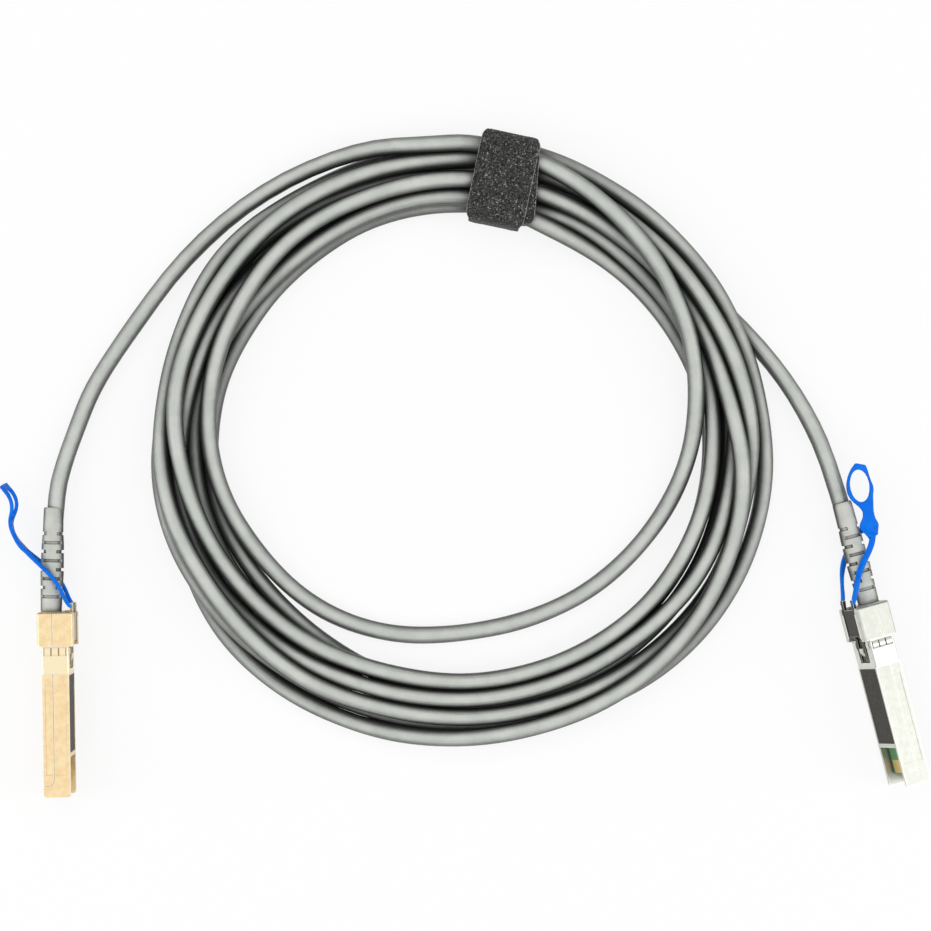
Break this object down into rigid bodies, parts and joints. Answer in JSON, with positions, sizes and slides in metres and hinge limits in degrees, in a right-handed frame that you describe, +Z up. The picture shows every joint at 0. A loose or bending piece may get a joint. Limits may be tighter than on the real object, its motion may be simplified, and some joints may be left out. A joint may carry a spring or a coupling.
{
  "type": "direct attach copper cable",
  "caption": "Direct attach copper cable: a coiled round cord tied with a fabric strap, with a metal plug, slotted rubber boot and spring-loaded pull-tab latch at either end.",
  "frame": {"origin": "On the table, under the middle of the whole cable as it lies.", "axes": "+Z is up from the table. The coil lies flat, its strap towards +Y, and the plugs point towards -Y: the left plug at -X and the right plug at +X."},
  "size_m": [0.2933, 0.2106, 0.0176],
  "materials": {
    "shell_metal": "satin nickel plate on a zinc casting, slightly warm",
    "collar_metal": "smooth bright spring steel",
    "bright_steel": "bright plated steel",
    "card_green": "green solder mask",
    "contact_gold": "gold plate",
    "chip_black": "moulded black",
    "wire_insulation": "foam insulation",
    "boot_rubber": "mid-grey moulded rubber, satin",
    "tab_blue": "bright blue soft plastic",
    "cord_jacket": "grey-black satin jacket with faint ripples",
    "strap_pile": "dark grey looped pile"
  },
  "bodies": {
    "base": {"left_bottom_shell": "shell_metal", "left_top_shell": "shell_metal", "left_housing_screws": "bright_steel", "left_emi_collar": "collar_metal", "left_paddle_card": "card_green", "left_gold_fingers": "contact_gold", "left_memory_chip": "chip_black", "left_wire_pairs": "wire_insulation", "left_crimp_ferrule": "bright_steel", "left_boot": "boot_rubber", "left_return_spring": "bright_steel", "left_cable_tail": "cord_jacket", "right_bottom_shell": "shell_metal", "right_top_shell": "shell_metal", "right_housing_screws": "bright_steel", "right_emi_collar": "collar_metal", "right_paddle_card": "card_green", "right_gold_fingers": "contact_gold", "right_memory_chip": "chip_black", "right_wire_pairs": "wire_insulation", "right_crimp_ferrule": "bright_steel", "right_boot": "boot_rubber", "right_return_spring": "bright_steel", "right_cable_tail": "cord_jacket", "cable_coil": "cord_jacket", "cable_strap": "strap_pile"},
    "left_latch": {"left_latch_slide": "bright_steel", "left_pull_tab": "tab_blue"},
    "right_latch": {"right_latch_slide": "bright_steel", "right_pull_tab": "tab_blue"}
  },
  "joints": [
    {"name": "left_latch_pull", "type": "slide", "parent": "base", "child": "left_latch", "axis": [-0.0157, 0.9999, 0], "range_m": [0, 0.002], "stiffness_N_per_m": 300, "springref_m": -0.002, "deforming": ["left_return_spring"]},
    {"name": "right_latch_pull", "type": "slide", "parent": "base", "child": "right_latch", "axis": [-0.2521, 0.9677, 0], "range_m": [0, 0.002], "stiffness_N_per_m": 300, "springref_m": -0.002, "deforming": ["right_return_spring"]}
  ]
}
